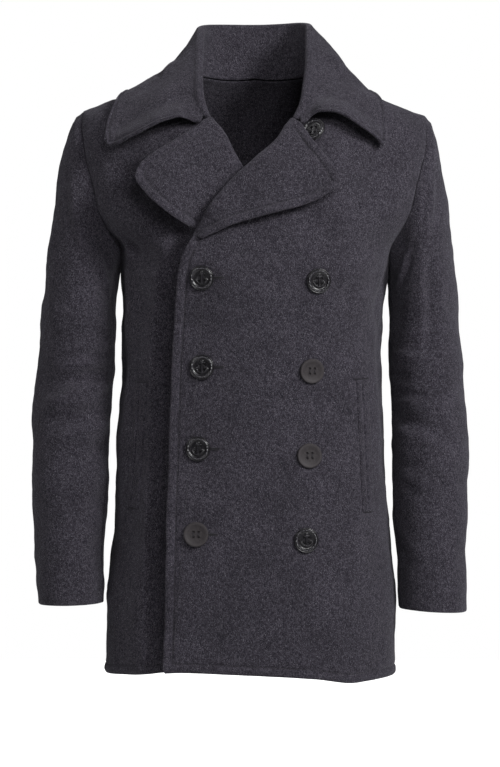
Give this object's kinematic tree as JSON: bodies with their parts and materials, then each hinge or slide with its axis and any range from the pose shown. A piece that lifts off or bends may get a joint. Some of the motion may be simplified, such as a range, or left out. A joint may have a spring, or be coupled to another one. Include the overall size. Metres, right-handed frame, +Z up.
{
  "type": "pea coat",
  "caption": "Double-breasted hip-length wool coat in its worn form, with a wide turned-down collar, broad lapels, large round buttons and upright welt pockets, open at the neck.",
  "frame": {"origin": "base of the neck, midway between the shoulders, where the wearer's shoulders carry the coat", "axes": "+Z up, -Y out of the coat's front, +X to the wearer's left"},
  "size_m": [0.5797, 0.2899, 0.8738],
  "materials": {
    "wool_body": "charcoal heather melton, matte nap",
    "wool_trim": "charcoal heather melton, matte nap",
    "button_patterned": "semi-gloss moulded relief",
    "button_plain": "matte"
  },
  "bodies": {
    "root": {"front_over": "wool_body", "front_under": "wool_body", "back": "wool_body", "sleeve_top_left": "wool_body", "sleeve_under_left": "wool_body", "sleeve_top_right": "wool_body", "sleeve_under_right": "wool_body", "collar": "wool_trim", "lapel_over": "wool_trim", "lapel_under": "wool_trim", "pocket_welt_left": "wool_trim", "pocket_welt_right": "wool_trim", "button_1_right": "button_patterned", "button_1_left": "button_patterned", "button_2_right": "button_patterned", "button_2_left": "button_plain", "button_3_right": "button_patterned", "button_3_left": "button_plain", "button_4_right": "button_plain", "button_4_left": "button_patterned", "button_collar": "button_patterned"}
  },
  "joints": []
}
